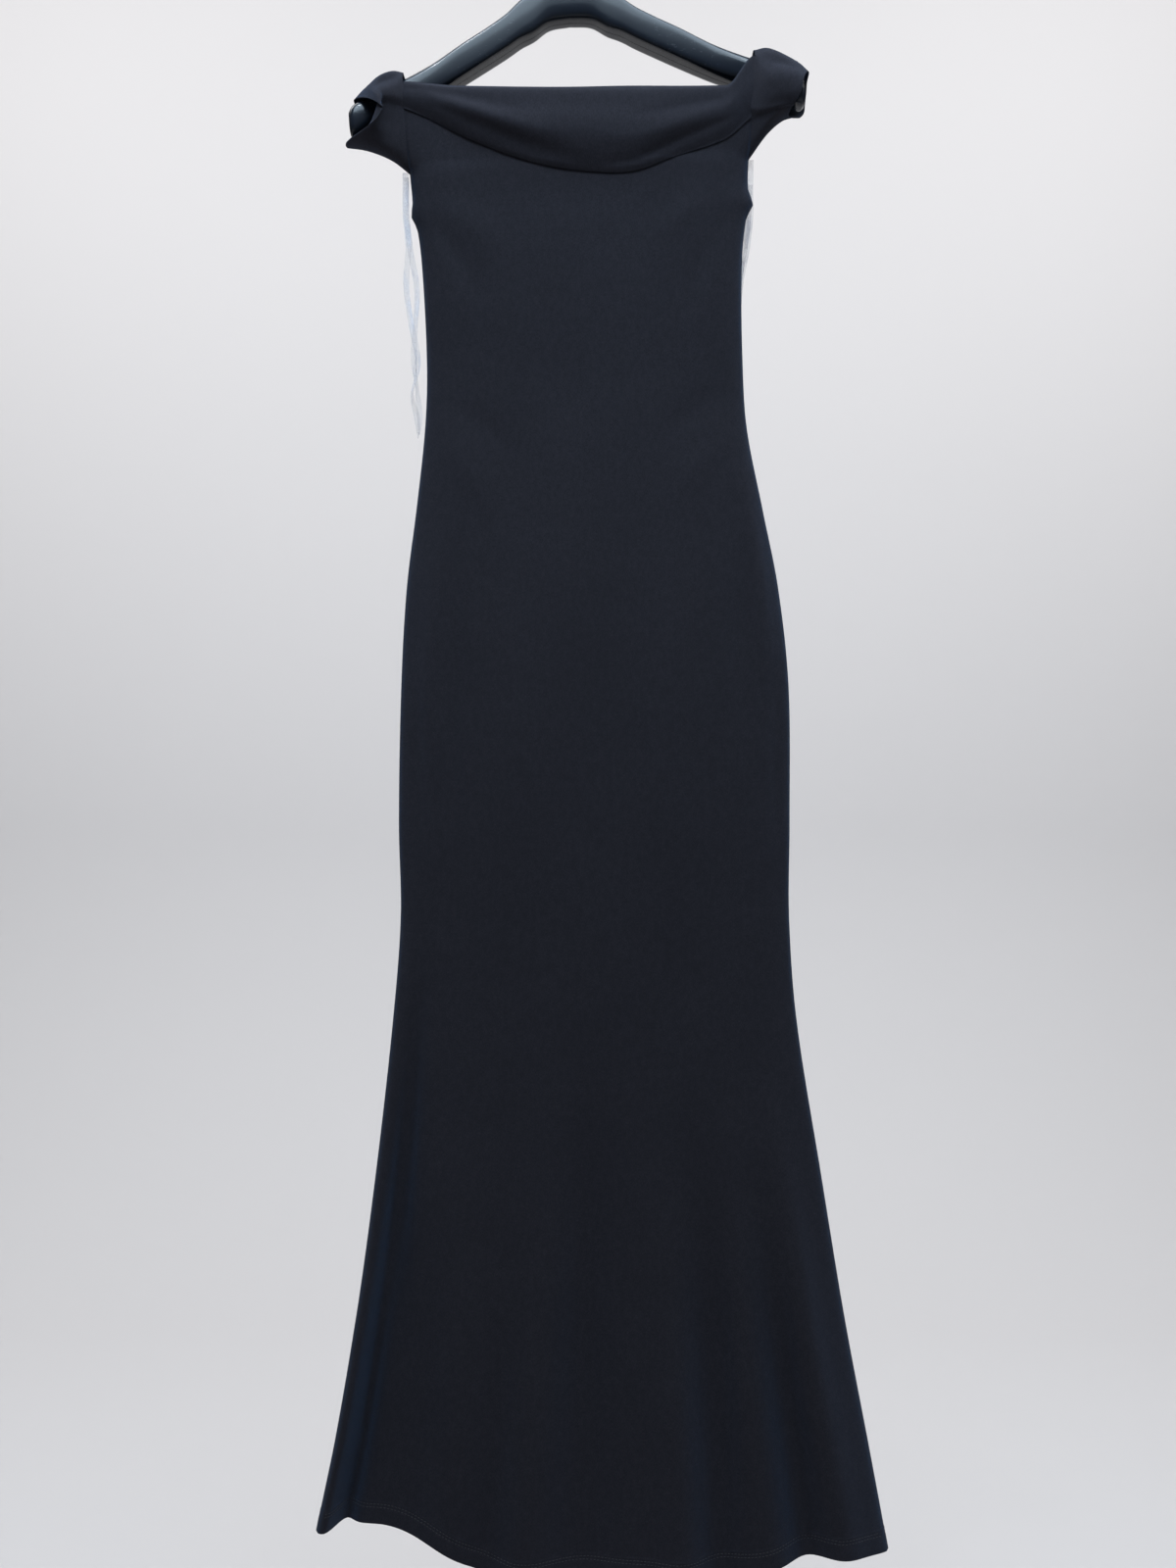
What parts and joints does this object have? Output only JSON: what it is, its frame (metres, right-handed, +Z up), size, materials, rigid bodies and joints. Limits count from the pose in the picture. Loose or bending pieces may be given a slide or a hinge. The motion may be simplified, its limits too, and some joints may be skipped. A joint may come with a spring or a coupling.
{
  "type": "maxi dress on a hanger",
  "caption": "Long dark knit dress with a fishtail skirt, folded-over neckline and short sleeves, hanging flat on a black moulded hanger with a metal hook.",
  "frame": {"origin": "top of the inside of the hanger's hook, where a rail or a wall hook carries it", "axes": "+Z up, -Y towards the front of the dress, +X to the right as seen from the front"},
  "size_m": [0.5368, 0.1006, 1.5821],
  "materials": {
    "dark_knit": "fine dense jersey, almost black with a little navy, soft sheen",
    "clear_tape": "clear stretch tape",
    "hanger_plastic": "glossy black moulded plastic",
    "hook_metal": "polished"
  },
  "bodies": {
    "root": {"front_panel": "dark_knit", "back_panel": "dark_knit", "neck_band_front": "dark_knit", "neck_band_back": "dark_knit", "sleeve_left": "dark_knit", "sleeve_right": "dark_knit", "hanger_loop_left": "clear_tape", "hanger_loop_right": "clear_tape", "hanger_body": "hanger_plastic", "hanger_hook": "hook_metal"}
  },
  "joints": []
}
